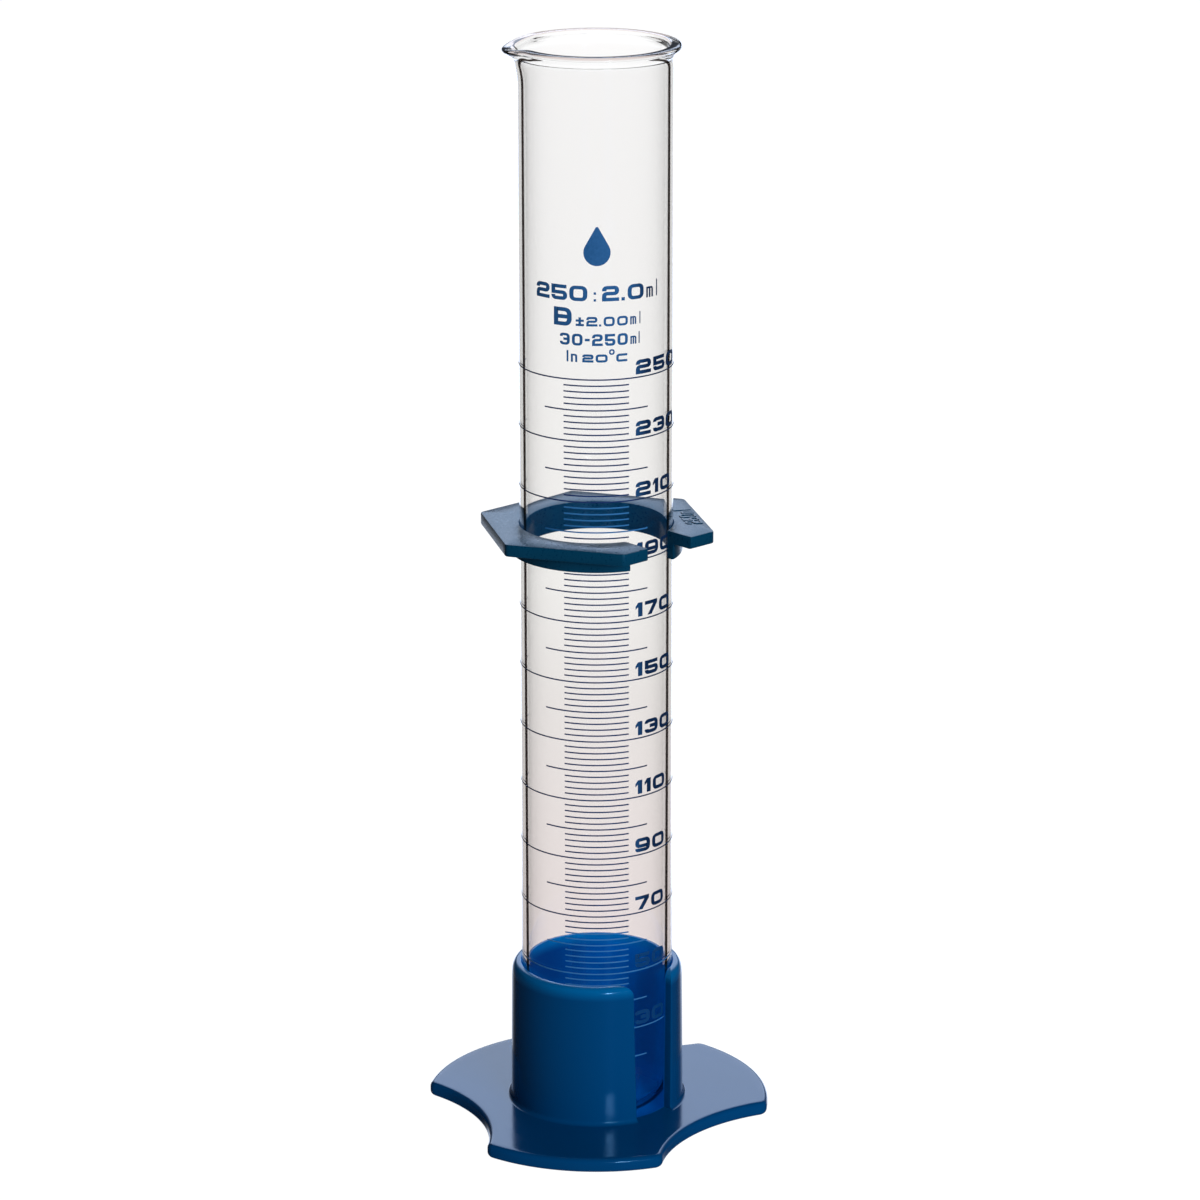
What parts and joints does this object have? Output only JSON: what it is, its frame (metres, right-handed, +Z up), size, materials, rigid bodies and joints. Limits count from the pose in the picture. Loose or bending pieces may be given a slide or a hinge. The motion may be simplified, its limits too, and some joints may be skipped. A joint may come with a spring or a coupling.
{
  "type": "graduated measuring cylinder",
  "caption": "Clear glass measuring cylinder with pouring spout and printed scale, held upright in a lobed plastic foot, with a sliding hexagonal bumper guard.",
  "frame": {"origin": "on the tube's axis, in the plane of the foot's underside", "axes": "+Z up along the tube's axis; -Y is the front, where the scale's lines are; the spout points to -X"},
  "size_m": [0.0953, 0.0916, 0.3021],
  "materials": {
    "blue_plastic": "glossy moulded polyethylene",
    "clear_glass": "clear polished borosilicate glass",
    "grained_blue_plastic": "satin, finely grained moulded polyethylene",
    "blue_enamel": "fired blue ceramic enamel print"
  },
  "bodies": {
    "base": {"base": "blue_plastic"},
    "cylinder": {"glass_cylinder": "clear_glass"},
    "guard": {"bumper_guard": "grained_blue_plastic"}
  },
  "joints": [
    {"name": "cylinder_lift", "type": "slide", "parent": "base", "child": "cylinder", "axis": [0, 0, 1], "range_m": [0, 0.042]},
    {"name": "guard_slide", "type": "slide", "parent": "cylinder", "child": "guard", "axis": [0, 0, 1], "range_m": [-0.1185, 0.119]}
  ]
}
